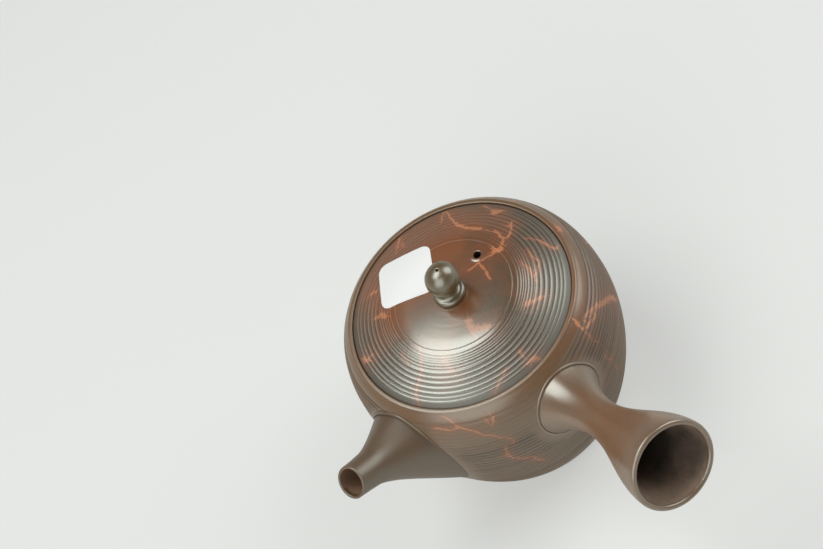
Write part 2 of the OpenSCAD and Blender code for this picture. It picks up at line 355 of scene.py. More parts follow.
shoulder_rows = np.arange(0.4, 3, 0.6)
foot_rows = np.arange(COMB_END, belly_arc[-1] - 1)
down = np.sort(np.concatenate([groove_rows(comb), shoulder_rows, foot_rows]))
rows = belly_arc[-1] - down[::-1]
outside = np.column_stack([np.interp(rows, belly_arc, belly_line[:, i]) for i in (0, 1)])
foot_in = BASE_R - FOOT_RING
underside = [(0, FOOT_LIFT), (foot_in - 3, FOOT_LIFT), (foot_in - 1, FOOT_LIFT * 0.7), (foot_in, 0),
             (BASE_R - 0.9, 0), (BASE_R - 0.1, 0.25)]
rim_low = body_h - RIM_T / 2
rim = np.vstack([
    swell((rim_out, rim_low), (rim_out - 0.45, rim_low + 0.4),
          (rim_out - 0.6, body_h), (rim_out - 1.1, body_h), 8),
    arc((rim_in + RIM_EDGE_R, body_h - RIM_EDGE_R), RIM_EDGE_R, 90, 180, 7),
])
mouth = [(rim_in, seat_z + 0.4), (rim_in - 0.1, seat_z + 0.1), (rim_in - 0.4, seat_z),
         (throat_r + 0.5, seat_z), (throat_r + 0.1, seat_z - 0.1), (throat_r, seat_z - 0.5)]
hollow_r = belly_r - WALL
hollow_foot = BASE_R - WALL
hollow = np.vstack([
    swell((throat_r, throat_z), (hollow_r - WALL, throat_z),
          (hollow_r, mix(BELLY_Z, throat_z, 0.6)), (hollow_r, BELLY_Z), 20),
    swell((hollow_r, BELLY_Z), (hollow_r, BELLY_Z * 0.61),
          (mix(hollow_foot, hollow_r, 0.41), FLOOR_T + BELLY_Z * 0.1), (hollow_foot - WALL, FLOOR_T), 26),
    [(hollow_foot - WALL, FLOOR_T), (0, FLOOR_T)],
])
pot_body = throw("pot_body_thrown", np.vstack([underside, outside, rim, mouth, hollow]), 220)
report(pot_body)

# %% [markdown]
# The comb did not bite evenly. Every ring has its own depth, the shoulder and the foot were left
# smooth, and where the spout and the handle were joined on, the clay was wiped with wet fingers, which
# filled the grooves again.

# %% Comb the belly
NEAR_BELLY, ABOVE_FOOT = 0.05, 2
UNEVEN, WAVES = 0.15, 3
# Heights over which the comb sets in above the foot and stops below the rim, and how far from a tube
# it sets in
FOOT_FADE, SHOULDER_FADE, SEAM_FADE = (9, 17), (65, 67.5), (0.5, 4)
# The wiped place: its azimuth, how far it reaches to each side, the heights over which it gets plainer,
# how plain it is below them, and how much of a groove it fills
WIPED_AT, WIPED_HALF, WIPED_RISE, WIPED_LOW, WIPED_FILL = -141, 38, (48, 58), 0.1, 0.8


def split_on(tube, points):
    """How far points lie along a tube's axis, and their offsets from it, in millimetres."""
    along = (points - tube.start) @ tube.way
    return along, points - tube.start - along[:, None] * tube.way


def clear_of(tube, points):
    """How far points stand outside a tube, in millimetres."""
    along, across = split_on(tube, points)
    return np.where(along > 0, lengths(across) - tube.outer_at(along), belly_r)


points = read_points(pot_body)
ring = lengths(points[:, :2])
on_belly = (np.abs(ring - belly_radius(points[:, 2])) < NEAR_BELLY) & (points[:, 2] > ABOVE_FOOT)
skin = points[on_belly]
azimuth = np.degrees(np.arctan2(skin[:, 1], skin[:, 0]))
below_rim = belly_arc[-1] - np.interp(skin[:, 2], belly_line[:, 1], belly_arc)
bite = dip(below_rim, comb)
bite *= 1 - UNEVEN + UNEVEN * np.sin(np.radians(azimuth) * WAVES + below_rim)
bite *= ease(*FOOT_FADE, skin[:, 2]) * (1 - ease(*SHOULDER_FADE, skin[:, 2]))
from_wiped = np.abs((azimuth - WIPED_AT + 180) % 360 - 180)
wiped = 1 - ease(WIPED_HALF * 0.6, WIPED_HALF, from_wiped)
wiped *= mix(WIPED_LOW, 1, ease(*WIPED_RISE, skin[:, 2]))
bite *= 1 - WIPED_FILL * wiped
for tube in (spout_tube, handle_tube):
    bite *= ease(*SEAM_FADE, clear_of(tube, skin))
points[on_belly] = skin - belly_normal(skin) * bite[:, None]
write_points(pot_body, points)
print("the comb bit at most", round(bite.max(), 2), "mm deep")

# %% [markdown]
# Behind the spout the wall is opened so that tea can reach it. A Boolean with a plain drill does it,
# as the potter's hole cutter would.

# %% Open the wall behind the spout
PASSAGE_R = 11
PASSAGE_Z = body_h - 25
DRILL_FROM, DRILL_PAST = 30, 5


def rod(radius, low, high):
    """The outline of a solid rod."""
    return [(0, low), (radius, low), (radius, high), (0, high)]


def cut(piece, tool):
    """Takes the tool's shape out of a piece, and removes the tool."""
    pick(piece)
    bpy.ops.object.modifier_add(type="BOOLEAN")
    piece.modifiers[-1].operation = "DIFFERENCE"
    piece.modifiers[-1].solver = "EXACT"
    piece.modifiers[-1].object = tool
    bpy.ops.object.modifier_apply(modifier=piece.modifiers[-1].name)
    bpy.data.objects.remove(tool)


drill = throw("drill", rod(PASSAGE_R, DRILL_FROM, belly_r + DRILL_PAST), 64,
              foot=(0, 0, PASSAGE_Z), axis=(-1, 0, 0), out=(0, 0, 1))
cut(pot_body, drill)
smooth(pot_body, 50)
report(pot_body)

# %% [markdown]
# ## The spout and the handle
# Each is thrown as a tube with a rounded lip. Its root has to follow the belly's curve. A Boolean
# would trim it, but leave ragged faces where the light runs along the joint. Sliding every line of
# the tube along its axis until its end touches the belly keeps the mesh even.

# %% Seat a tube on the belly
SINK = 0.25


def meet_belly(tube, sides, line_at):
    """Distance along the axis at which the tube's line on each side meets the belly."""
    near = np.full(len(sides), tube.root)
    far = np.full(len(sides), tube.free)
    for _ in range(40):
        middle = (near + far) / 2
        spot = tube.start + middle[:, None] * tube.way + line_at(middle)[:, None] * sides
        inside = lengths(spot[:, :2]) < belly_radius(spot[:, 2])
        near = np.where(inside, middle, near)
        far = np.where(inside, far, middle)
    return near


def seat_on_belly(piece, tube):
    """Slides each line of a thrown tube along its axis, so that its root follows the belly."""
    points = read_points(piece)
    along, across = split_on(tube, points)
    radius = lengths(across)
    sides = across / radius[:, None]
    outer = radius > (tube.outer_at(along) + tube.inner_at(along)) / 2
    for chosen, line_at in ((outer, tube.outer_at), (~outer, tube.inner_at)):
        chosen = chosen & (along < tube.free)
        seam = meet_belly(tube, sides[chosen], line_at) - SINK
        reach = (tube.free - seam) / (tube.free - tube.root)
        moved = tube.free - (tube.free - along[chosen]) * reach
        points[chosen] = tube.start + moved[:, None] * tube.way + line_at(moved)[:, None] * sides[chosen]
    write_points(piece, points)


def throw_tube(name, tube, steps):
    """Throws a tube with a round lip and seats it on the belly."""
    lip_r = (tube.outer[-1][0] - tube.inner[-1][0]) / 2
    lip = arc((tube.outer[-1][0] - lip_r, tube.outer[-1][1]), lip_r, 0, 180, 11)
    outline = np.vstack([tube.outer[:-1], lip, tube.inner[-2::-1], tube.outer[:1]])
    piece = throw(name, outline, steps, foot=tube.start, axis=tube.way, out=tube.lift)
    seat_on_belly(piece, tube)
    return piece


# %% Throw the spout and cut its tip
TIP_CUT = 8

spout = throw_tube("spout_thrown", spout_tube, 144)
points = read_points(spout)
along = (points - spout_tube.start) @ spout_tube.way
height = (points - spout_tube.start) @ spout_tube.lift
tilt = math.tan(math.radians(TIP_CUT)) * height * ease(spout_neck, spout_tip, along)
write_points(spout, points - tilt[:, None] * spout_tube.way)
smooth(spout)
report(spout)

# %% Throw the handle
handle = throw_tube("handle_thrown", handle_tube, 160)
smooth(handle)
report(handle)

# %% [markdown]
# Where a tube joins the belly, the potter pressed a thin roll of soft clay into the corner and drew a
# tool along it. It leaves a low bead between two fine lines, wider above the tube than below. A torus
# has the right mesh for that. Its rings are laid along the seam, flattened, and half sunk into the belly.

# %% Beads along the seams
BEAD_RISE = 0.1


def slip_bead(name, tube, above, below):
    """A low bead of clay round a tube's root, with its half-width at the top and at the bottom in mm."""
    bpy.ops.object.select_all(action="DESELECT")
    bpy.ops.mesh.primitive_torus_add(major_segments=180, minor_segments=12,
                                     major_radius=1, minor_radius=0.25)
    piece = bpy.context.object
    piece.name = piece.data.name = name
    raw = read_points(piece) * MM
    turn = np.arctan2(raw[:, 1], raw[:, 0])
    roll = np.arctan2(raw[:, 2], lengths(raw[:, :2]) - 1)
    sides = np.cos(turn)[:, None] * tube.lift + np.sin(turn)[:, None] * tube.side
    seam = meet_belly(tube, sides, tube.outer_at)
    spot = tube.start + seam[:, None] * tube.way + tube.outer_at(seam)[:, None] * sides
    normal = belly_normal(spot)
    away = sides - (sides * normal).sum(axis=1)[:, None] * normal
    away /= lengths(away)[:, None]
    half = mix(below, above, ease(0, 0.9, np.cos(turn)))
    spot += away * (half * (1 + np.cos(roll)))[:, None]
    high = BEAD_RISE + half / 2
    write_points(piece, spot + normal * (high * np.sin(roll))[:, None])
    smooth(piece, 80)
    return piece


spout_bead = slip_bead("spout_seam", spout_tube, 0.85, 0.25)
handle_bead = slip_bead("handle_seam", handle_tube, 0.6, 0.45)
report(spout_bead)
report(handle_bead)

# %% [markdown]
# ## The lid
# The lid is a shallow cone with a nearly flat middle. While it turned, the potter cut rings into its
# flank with a pointed tool: only scratches round the middle, then deeper and further apart towards the
# edge, so that soft ridges stand between them. Below, a flange keeps the lid in the mouth.

# %% Sizes of the lid
LID_PROUD = 0.2
LID_RISE, MIDDLE_RISE = 6.5, 0.8
LID_T = 3
SMOOTH_R, FLANK_BLEND = 22.7, (16.5, 29)
EDGE_BAND, EDGE_DROP = 1.9, 0.8
FLANGE_GAP, FLANGE_T, FLANGE_H = 0.6, 2.6, 6
COLLAR_R = 6.2
# Rings cut into the lid: radius, half-width and depth in mm
LID_RINGS = [
    (21.9, 0.16, 0.06), (23.9, 0.18, 0.06), (25.0, 0.24, 0.07), (25.8, 0.24, 0.06), (26.6, 0.26, 0.08),
    (27.6, 0.3, 0.1), (28.6, 0.3, 0.1), (29.3, 0.16, 0.03), (30.3, 0.38, 0.15), (31.9, 0.4, 0.16),
    (33.6, 0.4, 0.17), (35.3, 0.42, 0.17), (36.95, 0.4, 0.17), (38.3, 0.36, 0.16),
]

lid_edge_z = body_h + LID_PROUD
flange_out = throat_r - FLANGE_GAP
flange_in = flange_out - FLANGE_T
flange_z = seat_z - FLANGE_H

# The flat middle runs into the flank over a few millimetres, so the slope is eased and then summed up
fine_r = np.linspace(0, lid_r, 821)
middle_slope, flank_slope = 2 * MIDDLE_RISE * fine_r / SMOOTH_R**2, LID_RISE / (lid_r - SMOOTH_R)
slope = mix(middle_slope, flank_slope, ease(*FLANK_BLEND, fine_r))
rise = np.concatenate([[0], np.cumsum((slope[1:] + slope[:-1]) / 2 * np.diff(fine_r))])
knob_rise = LID_RISE + MIDDLE_RISE * (1 - (COLLAR_R / SMOOTH_R) ** 2)
rise = (rise[-1] - rise) * knob_rise / (rise[-1] - np.interp(COLLAR_R, fine_r, rise))


def lid_top(r):
    """Level of the lid over its ridges."""
    return lid_edge_z + np.interp(r, fine_r, rise)


print("the lid rises", round(float(rise[0]), 2), "mm from its edge to its middle")

# %% Throw the lid
edge_r = lid_r - EDGE_BAND
middle_rows = np.concatenate([np.arange(COLLAR_R, 13, 0.8), np.arange(13, 21.5, 0.3)])
between_rows = [22.3, 22.8, 23.3]
top_r = np.concatenate([middle_rows, groove_rows(LID_RINGS), between_rows])
top_r = np.sort(top_r[top_r < edge_r])[::-1]
upside = np.column_stack([top_r, lid_top(top_r) - dip(top_r, LID_RINGS)])
edge_low = lid_edge_z - EDGE_DROP
edge = swell((lid_r, edge_low - 0.3), (lid_r, edge_low), (lid_r - 0.15, edge_low + 0.05),
             (edge_r, lid_top(edge_r) - dip(edge_r, LID_RINGS)), 10)
under_r = np.linspace(0, flange_in - 0.8, 16)
underside = np.column_stack([under_r, lid_top(under_r) - LID_T])
flange_top = lid_top(flange_in) - LID_T
flange = [(flange_in - 0.2, flange_top - 0.3), (flange_in, flange_top - 1),
          (flange_in, flange_z + 0.8), (flange_in + 0.25, flange_z + 0.2), (flange_in + 0.8, flange_z),
          (flange_out - 0.8, flange_z), (flange_out - 0.25, flange_z + 0.2), (flange_out, flange_z + 0.8),
          (flange_out, seat_z - 0.3), (flange_out + 0.3, seat_z),
          (lid_r - 0.4, seat_z), (lid_r, seat_z + 0.4)]
lid = throw("lid_thrown", np.vstack([underside, flange, edge, upside, [(0, lid_top(COLLAR_R))]]), 400)
report(lid)

# %% [markdown]
# A pin was pushed up through the soft lid for the steam hole. It raised the clay round the hole into a
# low lip, which is drawn up first. Then the pin takes its hole out.

# %% Pierce the steam hole
STEAM_R, STEAM_AT = 1.45, 16.6
LIP_AT, LIP_W, LIP_H = 2.0, 0.6, 0.17

points = read_points(lid)
from_hole = np.hypot(points[:, 0] - STEAM_AT, points[:, 1])
upper = points[:, 2] > lid_top(np.hypot(points[:, 0], points[:, 1])) - LID_T / 2
points[:, 2] += upper * LIP_H * np.exp(-((from_hole - LIP_AT) / LIP_W) ** 2)
write_points(lid, points)
pin = throw("pin", rod(STEAM_R, flange_z, lid_high[2]), 48, foot=(STEAM_AT, 0, 0))
cut(lid, pin)
smooth(lid, 70)
report(lid)

# %% [markdown]
# ## The knob
# A hollow ball on a waisted foot. A closed hollow would burst in the kiln, so a needle left a vent at
# its top, which is part of the outline and is thrown with it. The knob was set on by eye, so its foot
# stands a little to one side.

# %% Throw the knob
BALL_R, BALL_H = 6.2, 10.2
NECK_R, KNOB_COLLAR_R, KNOB_COLLAR_H = 3.5, 6, 2.4
VENT_R, VENT_DEPTH = 0.45, 2.5
FOOT_ASKEW = (-0.55, 0.8)

knob_z = float(lid_top(COLLAR_R))
neck_angle = math.degrees(math.asin(NECK_R / BALL_R))
neck_top = BALL_H - BALL_R * math.cos(math.radians(neck_angle))
vent_angle = 90 - math.degrees(math.asin((VENT_R + 0.3) / BALL_R))
ball = arc((0, BALL_H), BALL_R, neck_angle - 90, vent_angle, 56)
vent_z = ball[-1][1]
bulge = KNOB_COLLAR_H / 2
collar = arc((KNOB_COLLAR_R - bulge, bulge), bulge, -60, 75, 16)
waist = swell(collar[-1], (mix(NECK_R, KNOB_COLLAR_R, 0.1), KNOB_COLLAR_H + 0.1),
              (NECK_R, KNOB_COLLAR_H + 0.6), (NECK_R, neck_top), 20)[1:]
vent = [(VENT_R + 0.08, vent_z - 0.06), (VENT_R, vent_z - 0.3), (VENT_R, vent_z - VENT_DEPTH),
        (0, vent_z - VENT_DEPTH)]
knob = throw("knob_thrown", np.vstack([[(0, 0)], collar, waist, ball, vent]), 128, foot=(0, 0, knob_z))
points = read_points(knob)
points[:, :2] += np.outer(1 - (points[:, 2] - knob_z) / BALL_H, FOOT_ASKEW)
write_points(knob, points)
smooth(knob, 50)
report(knob)

# %% [markdown]
# ## The paper label
# A small gummed label with round corners, put on askew beside the knob. It is blank. It starts as a
# plane, its corners are rounded with a vertex bevel, bisects cut it into small squares so that it can
# bend, and then it is laid over the ridges. Its corners have lifted a little.

# %% Cut and lay the label
LABEL_W, LABEL_H, LABEL_CORNER = 21.4, 20.8, 3.6
LABEL_AT, LABEL_AZIMUTH, LABEL_TURN = 21.4, 91.5, 41
LABEL_T, LABEL_OVER, LABEL_LIFT, LABEL_CURL = 0.1, 0.08, 0.06, (0.75, 1)
LABEL_CUTS = 24

bpy.ops.object.select_all(action="DESELECT")
bpy.ops.mesh.primitive_plane_add(size=MM)
label = bpy.context.object
label.name = label.data.name = "label_blank"
bpy.ops.object.mode_set(mode="EDIT")
bpy.ops.mesh.select_all(action="SELECT")
bpy.ops.transform.resize(value=(LABEL_W, LABEL_H, 1))
bpy.ops.mesh.bevel(offset=LABEL_CORNER * MM, segments=8, affect="VERTICES")
for share in np.linspace(-0.5, 0.5, LABEL_CUTS + 1)[1:-1]:
    for side, width in ((Vector((1, 0, 0)), LABEL_W), (Vector((0, 1, 0)), LABEL_H)):
        bpy.ops.mesh.select_all(action="SELECT")
        bpy.ops.mesh.bisect(plane_co=side * float(share) * width * MM, plane_no=side)
bpy.ops.object.mode_set(mode="OBJECT")

flat = read_points(label)
turn = math.radians(LABEL_AZIMUTH + LABEL_TURN)
around = math.radians(LABEL_AZIMUTH)
laid = np.empty_like(flat)
laid[:, 0] = LABEL_AT * math.cos(around) + flat[:, 0] * math.cos(turn) - flat[:, 1] * math.sin(turn)
laid[:, 1] = LABEL_AT * math.sin(around) + flat[:, 0] * math.sin(turn) + flat[:, 1] * math.cos(turn)
corner = np.abs(flat[:, 0]) / LABEL_W + np.abs(flat[:, 1]) / LABEL_H
under_label = lid_top(lengths(laid[:, :2]))
laid[:, 2] = under_label + LABEL_OVER + LABEL_LIFT * ease(*LABEL_CURL, corner)
write_points(label, laid)
pick(label)
bpy.ops.object.modifier_add(type="SOLIDIFY")
label.modifiers[-1].thickness = LABEL_T * MM
label.modifiers[-1].offset = 1
bpy.ops.object.modifier_apply(modifier=label.modifiers[-1].name)
smooth(label, 50)
report(label)

# %% [markdown]
# ## Veins in the clay
# The potter folded a little orange clay into the brown one. On the wheel it was drawn into thin,
# branching veins, which break off and start again. A noise pattern could scatter such veins anywhere,
# but on a real pot each one is a line with a place, so they are listed as short routes. Each
# vertex then remembers how far it is from the nearest vein, on which side, and how strong that vein is.
# The clay reads these as attributes. The side keeps a vein whole where it runs between two vertices.
# A last attribute says how deep in a groove a vertex lies. The burnishing stone rubbed only the clay
# that stands between the grooves, so the grooves stay matt. The clay in them is also darkened as
# painted shade, and the veins fade there under that painted shade.

# %% Routes of the veins
# Routes on the lid are (x, y) in millimetres, after half the vein's width and its strength
LID_VEINS = [
    (0.35, 0.8, [(24.9, 23.8), (27.1, 25.3), (29.2, 26.4), (30.2, 25.9)]),
    (0.4, 0.9, [(30.2, 25.9), (29.1, 23.9), (27.4, 20.4), (25.8, 17.5)]),
    (0.6, 1, [(25.8, 17.5), (25.4, 14.6), (25.5, 11.8), (26.1, 8.5), (26.8, 6.2)]),
    (0.25, 0.7, [(26.8, 6.2), (27.2, 3.8), (27.2, 2), (28.1, 0)]),
    (0.45, 0.9, [(28.1, 0), (27.7, -1.4), (26.8, -2.8), (26.7, -4.6), (27.5, -5.3)]),
    (0.4, 0.9, [(27.5, -5.3), (29.3, -5), (31.1, -4.3), (32.8, -2.7), (34.2, -2.1)]),
    (0.35, 0.7, [(32.6, -2.9), (32.1, -1.9)]),
    (0.5, 0.9, [(26.1, -4.7), (24.5, -5.4), (22.8, -6.3)]),
    (0.9, 1, [(20.3, -5), (21.1, -6.2), (22.2, -6.6)]),
    (0.5, 0.9, [(21.3, -3.9), (21, -5.4)]),
    (0.3, 0.8, [(19.8, -5.3), (18.2, -4.6), (16.8, -3.8), (15.3, -3)]),
    (0.35, 0.8, [(15.3, -3), (13.9, -2.2), (12.3, -1.5), (10.2, -0.7)]),
    (0.4, 0.9, [(13.9, -2.2), (13.1, -4.5), (12.4, -6.2), (11.3, -7.8), (10.3, -9.6)]),
    (0.35, 0.7, [(37.3, 13.6), (36.7, 10.7), (36.4, 8.6)]),
    (0.7, 1, [(36.2, 8.4), (36.2, 6.5), (37.3, 5.1)]),
    (0.5, 0.9, [(34.7, 7.2), (35.9, 5.8)]),
    (0.3, 0.6, [(30.2, -10.8), (31.2, -13.5), (31.6, -15.6)]),
    (0.45, 0.9, [(31.6, -15.6), (31.5, -18.1), (31.3, -20.3), (31.2, -22), (31.6, -23), (32.8, -22.5)]),
    (0.3, 0.5, [(20.6, -16.1), (20.2, -17.9), (19.5, -19.2), (18.6, -21), (17.4, -22.9), (16.6, -24.6)]),
    (0.5, 0.8, [(15.8, 38), (13.6, 36.6), (11.4, 35.3), (9.7, 34.4)]),
    (0.3, 0.6, [(9.7, 34.4), (7.6, 33.1)]),
    (0.3, 0.6, [(12.2, 33.7), (10.7, 31.3)]),
    (0.6, 0.8, [(-10.8, 32.9), (-9.6, 32), (-8.8, 31)]),
    (0.8, 0.9, [(-16.6, 22.6), (-16.5, 20.5)]),
    (0.6, 0.8, [(-18.1, 24.3), (-17, 22.8)]),
    (0.9, 1, [(-33, 21.2), (-32.7, 19.9)]),
    (0.35, 0.6, [(-31.9, 19.8), (-30.5, 18.6)]),
    (0.3, 0.4, [(-26.7, 6), (-27.6, 4.2), (-28.9, 1.7)]),
    (0.35, 0.45, [(-22.6, -0.2), (-26, -2.7), (-29, -4.2), (-32.3, -4.5), (-35, -4.9), (-37.2, -5.6),
                  (-40.2, -7.7)]),
    (0.35, 0.5, [(-16.7, -31.4), (-19.2, -31.6), (-21.2, -31.4), (-23.3, -31.6), (-25.3, -31.9),
                 (-26.5, -32.5)]),
    (0.8, 0.9, [(-8.7, -38.2), (-7.9, -39.3)]),
    (0.4, 0.7, [(-9.9, -37.4), (-11.3, -37)]),
    (0.4, 0.6, [(-8.8, -33.1), (-9.6, -34.6)]),
    (1.3, 0.5, [(-7.4, -11.9), (-9.5, -15.4), (-6.3, -19)]),
    (0.7, 0.8, [(7.1, -26.7), (9.6, -28.2), (12.2, -29.4)]),
    (0.35, 0.7, [(26, -15.6), (24.1, -21.1), (18, -23.2)]),
    (0.3, 0.6, [(20.1, -18.5), (18, -23.2)]),
    (1.0, 0.35, [(-22.7, -10.6), (-25.2, -14.6)]),
]
# Routes on the body are (azimuth in degrees, height in millimetres). The last eight are on its far side
BODY_VEINS = [
    (0.3, 0.5, [(-156, 69), (-154.2, 68.5), (-152.5, 67.8), (-150.8, 66.5), (-149.1, 65.1)]),
    (0.4, 0.6, [(-149.1, 65.1), (-146.9, 64.1), (-144.7, 63.1), (-142, 61.3)]),
    (0.25, 0.5, [(-142, 61.3), (-136.8, 57.7), (-132, 53.2), (-131.4, 52.1), (-132.2, 50.9),
                 (-133.3, 50.2)]),
    (0.35, 0.6, [(-160.5, 65.3), (-156.1, 64.7), (-153.4, 64.4), (-150.9, 65), (-149, 65.3)]),
    (0.4, 0.6, [(-136.1, 49.8), (-136.8, 47.2), (-136.9, 44.8), (-137, 42.6)]),
    (0.4, 0.5, [(-137, 42.6), (-135, 40), (-132.9, 37.5), (-130.1, 36.7), (-128.4, 31.4), (-127, 28.5)]),
    (0.25, 0.5, [(-139.9, 44.9), (-137.2, 44.1)]),
    (0.45, 0.7, [(-134, 65.4), (-134.6, 64.4)]),
    (0.2, 0.3, [(-134.3, 67.1), (-134.7, 65.8), (-134.5, 64.6), (-136.1, 62.6)]),
    (0.2, 0.3, [(-137.4, 66.5), (-137.8, 64.4)]),
    (0.7, 1, [(-77.2, 67.7), (-77.7, 66.2), (-77.5, 64.7), (-75.5, 63.9), (-73.8, 63.5)]),
    (0.6, 0.8, [(-72.6, 65.9), (-70.4, 65.2), (-68.9, 64.6), (-66.7, 63.1), (-64, 61.5)]),
    (1.0, 0.85, [(-64, 61.5), (-61.8, 58.7), (-59.5, 56.8), (-56.4, 53.5), (-53.7, 50.4), (-51.9, 46.7)]),
    (0.3, 0.4, [(-77.9, 64.5), (-78.5, 62.8), (-79, 61.6), (-78.8, 59.3), (-77.8, 56.4)]),
    (0.6, 0.7, [(-73.8, 63.5), (-71.1, 62.3), (-68.5, 61.2)]),
    (0.9, 0.8, [(-22.9, 69), (-25.4, 69)]),
    (0.3, 0.4, [(-79.6, 49), (-79, 45.1), (-77.3, 43)]),
    (0.25, 0.3, [(-76.8, 37.3), (-76.4, 33.4)]),
    (0.35, 0.5, [(6.5, 69), (5, 68)]),
    (0.5, 0.7, [(-30, 58), (-22, 50), (-10, 47), (2, 38)]),
    (0.4, 0.6, [(-10, 47), (-6, 55), (4, 60)]),
    (0.5, 0.7, [(48, 62), (55, 50), (70, 44), (74, 33), (88, 28)]),
    (0.4, 0.6, [(70, 44), (83, 50)]),
    (0.5, 0.7, [(128, 56), (139, 48), (141, 37), (150, 30)]),
    (0.4, 0.6, [(118, 30), (108, 24), (101, 20)]),
    (0.4, 0.6, [(20, 25), (32, 22), (40, 28)]),
    (0.4, 0.6, [(-60, 24), (-45, 20), (-38, 26)]),
]

# %% Distance from the veins
KINKS, KINK_SIDE = 3, 0.12
FAR = 40.0
ROUTE_SINK = 0.1
POT_MIDDLE = (0, 0, 40)


def kinked(route):
    """A vein's route with small sideways kinks between its listed points."""
    bent = []
    for here, there in zip(route, route[1:]):
        step = there - here
        aside = np.cross(step, here - POT_MIDDLE)
        aside /= np.linalg.norm(aside) + 1e-9
        shifts = chance.uniform(-KINK_SIDE, KINK_SIDE, KINKS) * np.linalg.norm(step)
        shifts[0] = 0
        bent += [here + step * i / KINKS + aside * shifts[i] for i in range(KINKS)]
    return np.array(bent + [route[-1]])


def keep(piece, name, values):
    """Stores one value on each vertex of a piece, for its material."""
    layer = piece.data.attributes.new(name, "FLOAT", "POINT")
    layer.data.foreach_set("value", values)


def mark_veins(piece, veins):
    """Stores the distance to the nearest vein on each vertex, in half-widths, without and with its side."""
    points = read_points(piece)
    nearest = np.full(len(points), FAR)
    side, strong = nearest.copy(), np.ones(len(points))
    for half_width, strength, route in veins:
        bent = kinked(route)
        for here, there in zip(bent, bent[1:]):
            step = there - here
            from_here = points - here
            share = np.clip(from_here @ step / (step @ step), 0, 1)
            gap = lengths(from_here - share[:, None] * step) / half_width
            left = (np.cross(step, from_here) * (points - POT_MIDDLE)).sum(axis=1) > 0
            closer = gap < nearest
            side = np.where(closer, np.where(left, gap, -gap), side)
            strong = np.where(closer, strength, strong)
            nearest = np.where(closer, gap, nearest)
    for name, values in (("vein", nearest), ("vein_side", side), ("vein_strength", strong)):
        keep(piece, name, values)
    print(piece.name, "has", int((nearest < 1).sum()), "vertices on veins")


def on_lid(route):
    """A route of (x, y) laid on the lid."""
    flat = np.array(route, float)
    return np.column_stack([flat, lid_top(lengths(flat)) - ROUTE_SINK])


def on_body(route):
    """A route of (azimuth, height) laid on the belly."""
    turn, z = np.radians([p[0] for p in route]), np.array([p[1] for p in route], float)
    return np.column_stack([belly_radius(z) * np.cos(turn), belly_radius(z) * np.sin(turn), z])


mark_veins(lid, [(width, strength, on_lid(route)) for width, strength, route in LID_VEINS])
mark_veins(pot_body, [(width, strength, on_body(route)) for width, strength, route in BODY_VEINS])

# %% Depth in the grooves
points = read_points(lid)
sunk = lid_top(np.hypot(points[:, 0], points[:, 1])) - points[:, 2]
deepest = max(depth for _, _, depth in LID_RINGS)
keep(lid, "groove", np.where(sunk < LID_T / 2, np.clip(sunk / deepest, 0, 1), 0))
points = read_points(pot_body)
sunk = belly_radius(points[:, 2]) - np.hypot(points[:, 0], points[:, 1])
sunk *= lengths(belly_normal(points)[:, :2])
combed = (sunk < WALL / 2) & (points[:, 2] < seat_z)
keep(pot_body, "groove", np.where(combed, np.clip(sunk / COMB_DEPTH, 0, 1), 0))
print("a groove counts as full at", deepest, "mm on the lid and", COMB_DEPTH, "mm on the belly")

# %% [markdown]
# ## Materials
# All the clay is one kind: iron-rich stoneware, fired without glaze and burnished before it dried, so
# it is brown with a soft sheen. Colours are written as sRGB hex values and turned to linear here. A
# single small function adds a node with its settings and feeds.

# %% Tools for materials
def linear(hex_colour):
    """An sRGB hex colour as linear red, green, blue and alpha."""
    parts = [int(hex_colour[i:i + 2], 16) / 255 for i in (1, 3, 5)]
    return [c / 12.92 if c <= 0.04045 else ((c + 0.055) / 1.055) ** 2.4 for c in parts] + [1]


def put(tree, kind, feeds=None, **settings):
    """Adds one shader node. feeds gives its inputs values, or sockets of other nodes."""
    made = tree.nodes.new("ShaderNode" + kind)
    for name, value in settings.items():
        setattr(made, name, value)
    for name, value in (feeds or {}).items():
        if isinstance(value, bpy.types.NodeSocket):
            tree.links.new(value, made.inputs[name])
        else:
            made.inputs[name].default_value = value
    return made


def per(size_mm):
    """A texture's scale, for features of that size in millimetres."""
    return 1 / (size_mm * MM)


def new_material(name):
    made = bpy.data.materials.new(name)
    made.use_nodes = True
    made.node_tree.nodes.clear()
    return made, made.node_tree


# Colour sockets of a Mix node
MIX_A, MIX_B, MIX_OUT = 6, 7, 2

# %% [markdown]
# Stoneware. The eye sees a brown that drifts between grey and red, where the kiln's flame reached it,
# fine dark grains, faint turning lines and a soft sheen. Its orange veins are flush with the surface,
# and the clay round them is redder. Inside, nobody burnished the clay: there it is lighter, dry and
# matt, and the rings left by the potter's fingers are stronger.

# %% Veins over clay
VEIN_DARK, VEIN_PALE, VEIN_HALO = "#AE5D31", "#DE9A6C", "#8A4522"
RAGGED_MM = 1.2
# In half-widths of a vein: how far it runs past its end, how frayed it is, its soft edge, and its halo
VEIN_END, FRAY_IN, FRAY_OUT, EDGE_OUT, EDGE_IN, HALO_OUT, HALO_IN = 2.5, -0.9, 1.0, 1.5, 0.6, 8, 1
RAGGED_FROM, RAGGED_TO = 0.25, 0.75
# GROOVE_COVER is how much of a vein still shows deep in a groove, under the painted shade there
VEIN_COVER, HALO_COVER, GROOVE_COVER = 0.95, 0.6, 0.4


